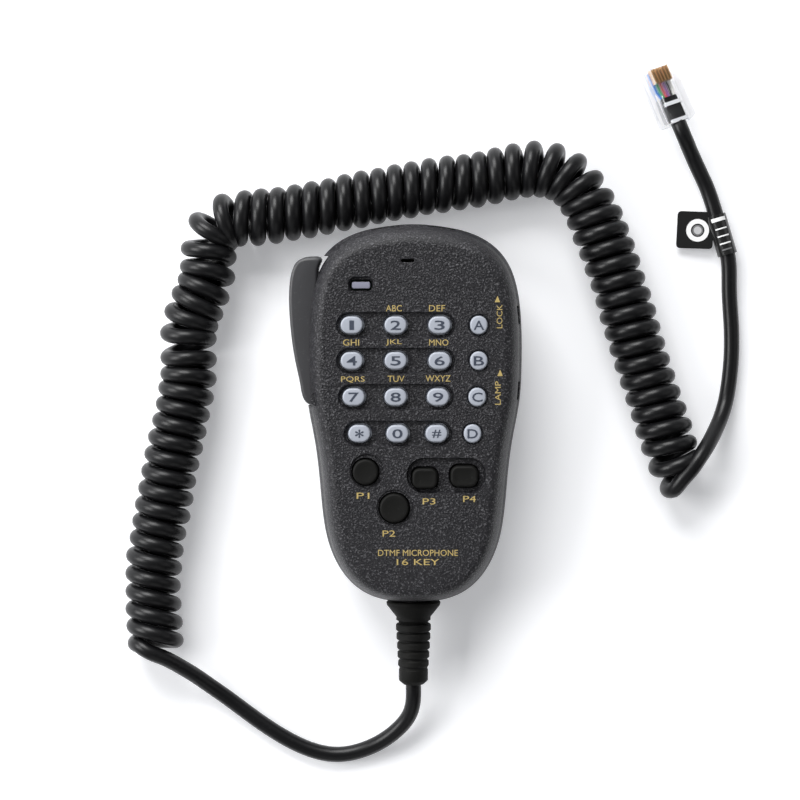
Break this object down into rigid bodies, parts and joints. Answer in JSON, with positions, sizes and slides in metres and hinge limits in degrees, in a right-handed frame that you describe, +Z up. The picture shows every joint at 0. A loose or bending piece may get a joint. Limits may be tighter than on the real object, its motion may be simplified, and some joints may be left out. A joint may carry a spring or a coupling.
{
  "type": "hand microphone",
  "caption": "Palm-sized hand microphone with a numbered keypad, side push-to-talk bar, hanger knob, strain relief, coiled cord and clear modular plug.",
  "frame": {"origin": "on the table, under the middle of the box round the microphone without its cord", "axes": "+X to the right across the keypad, +Y from the cord end to the head, +Z up from the table, out of the keypad; the microphone lies on its hanger knob and its heel, so its face leans back by about 4.2 degrees"},
  "size_m": [0.1782, 0.2044, 0.0342],
  "materials": {
    "case_plastic": "charcoal plastic with a coarse sandblasted grain",
    "key_rubber": "pale blue-grey silicone keys with dark signs",
    "black_rubber": "black moulded rubber",
    "bar_plastic": "finely textured black plastic",
    "switch_plastic": "black switch plastic",
    "lens_plastic": "milky light window",
    "board_resin": "green lacquered circuit board",
    "mat_silicone": "grey silicone sheet",
    "steel": "bright steel",
    "cord_rubber": "black satin cord jacket",
    "clear_plastic": "clear polycarbonate",
    "tag_film": "glossy black film label",
    "white_plastic": "natural white nylon"
  },
  "bodies": {
    "root": {"front_case": "case_plastic", "rear_case": "case_plastic", "keypad_mat": "mat_silicone", "circuit_board": "board_resin", "board_screw_1": "steel", "board_screw_2": "steel", "case_screw_1": "steel", "case_screw_2": "steel", "case_screw_3": "steel", "case_screw_4": "steel", "mic_capsule": "steel", "mic_gasket": "black_rubber", "status_led": "white_plastic", "led_lens": "lens_plastic", "lock_switch": "steel", "lamp_switch": "steel", "head_switch_board": "board_resin", "ptt_pivot_pin": "steel", "ptt_spring": "steel", "ptt_switch": "switch_plastic", "board_socket": "white_plastic", "loom_plug": "white_plastic", "inner_lead": "cord_rubber", "cable_clamp": "steel", "clamp_screw": "steel", "hanger_knob": "steel", "hanger_screw": "steel", "cord_boot": "black_rubber", "cord_tail_mic": "cord_rubber", "cord_coil": "cord_rubber", "cord_tail_plug": "cord_rubber", "cord_tag": "tag_film", "plug_body": "clear_plastic"},
    "key_1": {"key_1": "key_rubber"},
    "key_2": {"key_2": "key_rubber"},
    "key_3": {"key_3": "key_rubber"},
    "key_a": {"key_a": "key_rubber"},
    "key_4": {"key_4": "key_rubber"},
    "key_5": {"key_5": "key_rubber"},
    "key_6": {"key_6": "key_rubber"},
    "key_b": {"key_b": "key_rubber"},
    "key_7": {"key_7": "key_rubber"},
    "key_8": {"key_8": "key_rubber"},
    "key_9": {"key_9": "key_rubber"},
    "key_c": {"key_c": "key_rubber"},
    "key_star": {"key_star": "key_rubber"},
    "key_0": {"key_0": "key_rubber"},
    "key_hash": {"key_hash": "key_rubber"},
    "key_d": {"key_d": "key_rubber"},
    "p1_button": {"p1_button": "black_rubber"},
    "p2_button": {"p2_button": "black_rubber"},
    "p3_button": {"p3_button": "black_rubber"},
    "p4_button": {"p4_button": "black_rubber"},
    "up_button": {"up_button": "black_rubber"},
    "down_button": {"down_button": "black_rubber"},
    "lock_slider": {"lock_slider": "switch_plastic"},
    "lamp_slider": {"lamp_slider": "switch_plastic"},
    "ptt_lever": {"ptt_lever": "bar_plastic"},
    "ptt_plunger": {"ptt_plunger": "white_plastic"},
    "plug_latch": {"plug_latch": "clear_plastic"}
  },
  "joints": [
    {"name": "key_1_press", "type": "slide", "parent": "root", "child": "key_1", "axis": [0, 0.073, -0.9973], "range_m": [0, 0.0008], "stiffness_N_per_m": 400},
    {"name": "key_2_press", "type": "slide", "parent": "root", "child": "key_2", "axis": [0, 0.073, -0.9973], "range_m": [0, 0.0008], "stiffness_N_per_m": 400},
    {"name": "key_3_press", "type": "slide", "parent": "root", "child": "key_3", "axis": [0, 0.073, -0.9973], "range_m": [0, 0.0008], "stiffness_N_per_m": 400},
    {"name": "key_a_press", "type": "slide", "parent": "root", "child": "key_a", "axis": [0, 0.073, -0.9973], "range_m": [0, 0.0008], "stiffness_N_per_m": 400},
    {"name": "key_4_press", "type": "slide", "parent": "root", "child": "key_4", "axis": [0, 0.073, -0.9973], "range_m": [0, 0.0008], "stiffness_N_per_m": 400},
    {"name": "key_5_press", "type": "slide", "parent": "root", "child": "key_5", "axis": [0, 0.073, -0.9973], "range_m": [0, 0.0008], "stiffness_N_per_m": 400},
    {"name": "key_6_press", "type": "slide", "parent": "root", "child": "key_6", "axis": [0, 0.073, -0.9973], "range_m": [0, 0.0008], "stiffness_N_per_m": 400},
    {"name": "key_b_press", "type": "slide", "parent": "root", "child": "key_b", "axis": [0, 0.073, -0.9973], "range_m": [0, 0.0008], "stiffness_N_per_m": 400},
    {"name": "key_7_press", "type": "slide", "parent": "root", "child": "key_7", "axis": [0, 0.073, -0.9973], "range_m": [0, 0.0008], "stiffness_N_per_m": 400},
    {"name": "key_8_press", "type": "slide", "parent": "root", "child": "key_8", "axis": [0, 0.073, -0.9973], "range_m": [0, 0.0008], "stiffness_N_per_m": 400},
    {"name": "key_9_press", "type": "slide", "parent": "root", "child": "key_9", "axis": [0, 0.073, -0.9973], "range_m": [0, 0.0008], "stiffness_N_per_m": 400},
    {"name": "key_c_press", "type": "slide", "parent": "root", "child": "key_c", "axis": [0, 0.073, -0.9973], "range_m": [0, 0.0008], "stiffness_N_per_m": 400},
    {"name": "key_star_press", "type": "slide", "parent": "root", "child": "key_star", "axis": [0, 0.073, -0.9973], "range_m": [0, 0.0008], "stiffness_N_per_m": 400},
    {"name": "key_0_press", "type": "slide", "parent": "root", "child": "key_0", "axis": [0, 0.073, -0.9973], "range_m": [0, 0.0008], "stiffness_N_per_m": 400},
    {"name": "key_hash_press", "type": "slide", "parent": "root", "child": "key_hash", "axis": [0, 0.073, -0.9973], "range_m": [0, 0.0008], "stiffness_N_per_m": 400},
    {"name": "key_d_press", "type": "slide", "parent": "root", "child": "key_d", "axis": [0, 0.073, -0.9973], "range_m": [0, 0.0008], "stiffness_N_per_m": 400},
    {"name": "p1_button_press", "type": "slide", "parent": "root", "child": "p1_button", "axis": [0, 0.073, -0.9973], "range_m": [0, 0.001], "stiffness_N_per_m": 400},
    {"name": "p2_button_press", "type": "slide", "parent": "root", "child": "p2_button", "axis": [0, 0.073, -0.9973], "range_m": [0, 0.001], "stiffness_N_per_m": 400},
    {"name": "p3_button_press", "type": "slide", "parent": "root", "child": "p3_button", "axis": [0, 0.073, -0.9973], "range_m": [0, 0.001], "stiffness_N_per_m": 400},
    {"name": "p4_button_press", "type": "slide", "parent": "root", "child": "p4_button", "axis": [0, 0.073, -0.9973], "range_m": [0, 0.001], "stiffness_N_per_m": 400},
    {"name": "up_button_press", "type": "slide", "parent": "root", "child": "up_button", "axis": [0, -0.9973, -0.073], "range_m": [0, 0.0006], "stiffness_N_per_m": 400},
    {"name": "down_button_press", "type": "slide", "parent": "root", "child": "down_button", "axis": [0, -0.9973, -0.073], "range_m": [0, 0.0006], "stiffness_N_per_m": 400},
    {"name": "lock_slide", "type": "slide", "parent": "root", "child": "lock_slider", "axis": [0, 0.9973, 0.073], "range_m": [0, 0.002]},
    {"name": "lamp_slide", "type": "slide", "parent": "root", "child": "lamp_slider", "axis": [0, 0.9973, 0.073], "range_m": [0, 0.002]},
    {"name": "ptt_hinge", "type": "hinge", "parent": "root", "child": "ptt_lever", "pos_m": [-0.0247, 0.00499, 0.01796], "axis": [0, 0.073, -0.9973], "range_deg": [0, 4], "stiffness_Nm_per_rad": 1.2, "deforming": ["ptt_spring"]},
    {"name": "ptt_plunger_slide", "type": "slide", "parent": "root", "child": "ptt_plunger", "axis": [1, 0, 0], "range_m": [0, 0.0008]},
    {"name": "latch_flex", "type": "hinge", "parent": "root", "child": "plug_latch", "pos_m": [0.07201, 0.09895, 0.0008], "axis": [-0.9027, -0.3321, 0.2736], "range_deg": [0, 5], "stiffness_Nm_per_rad": 0.08}
  ],
  "couplings": [
    {"joint": "ptt_plunger_slide", "follows": "ptt_hinge", "m_per_rad": 0.01}
  ]
}
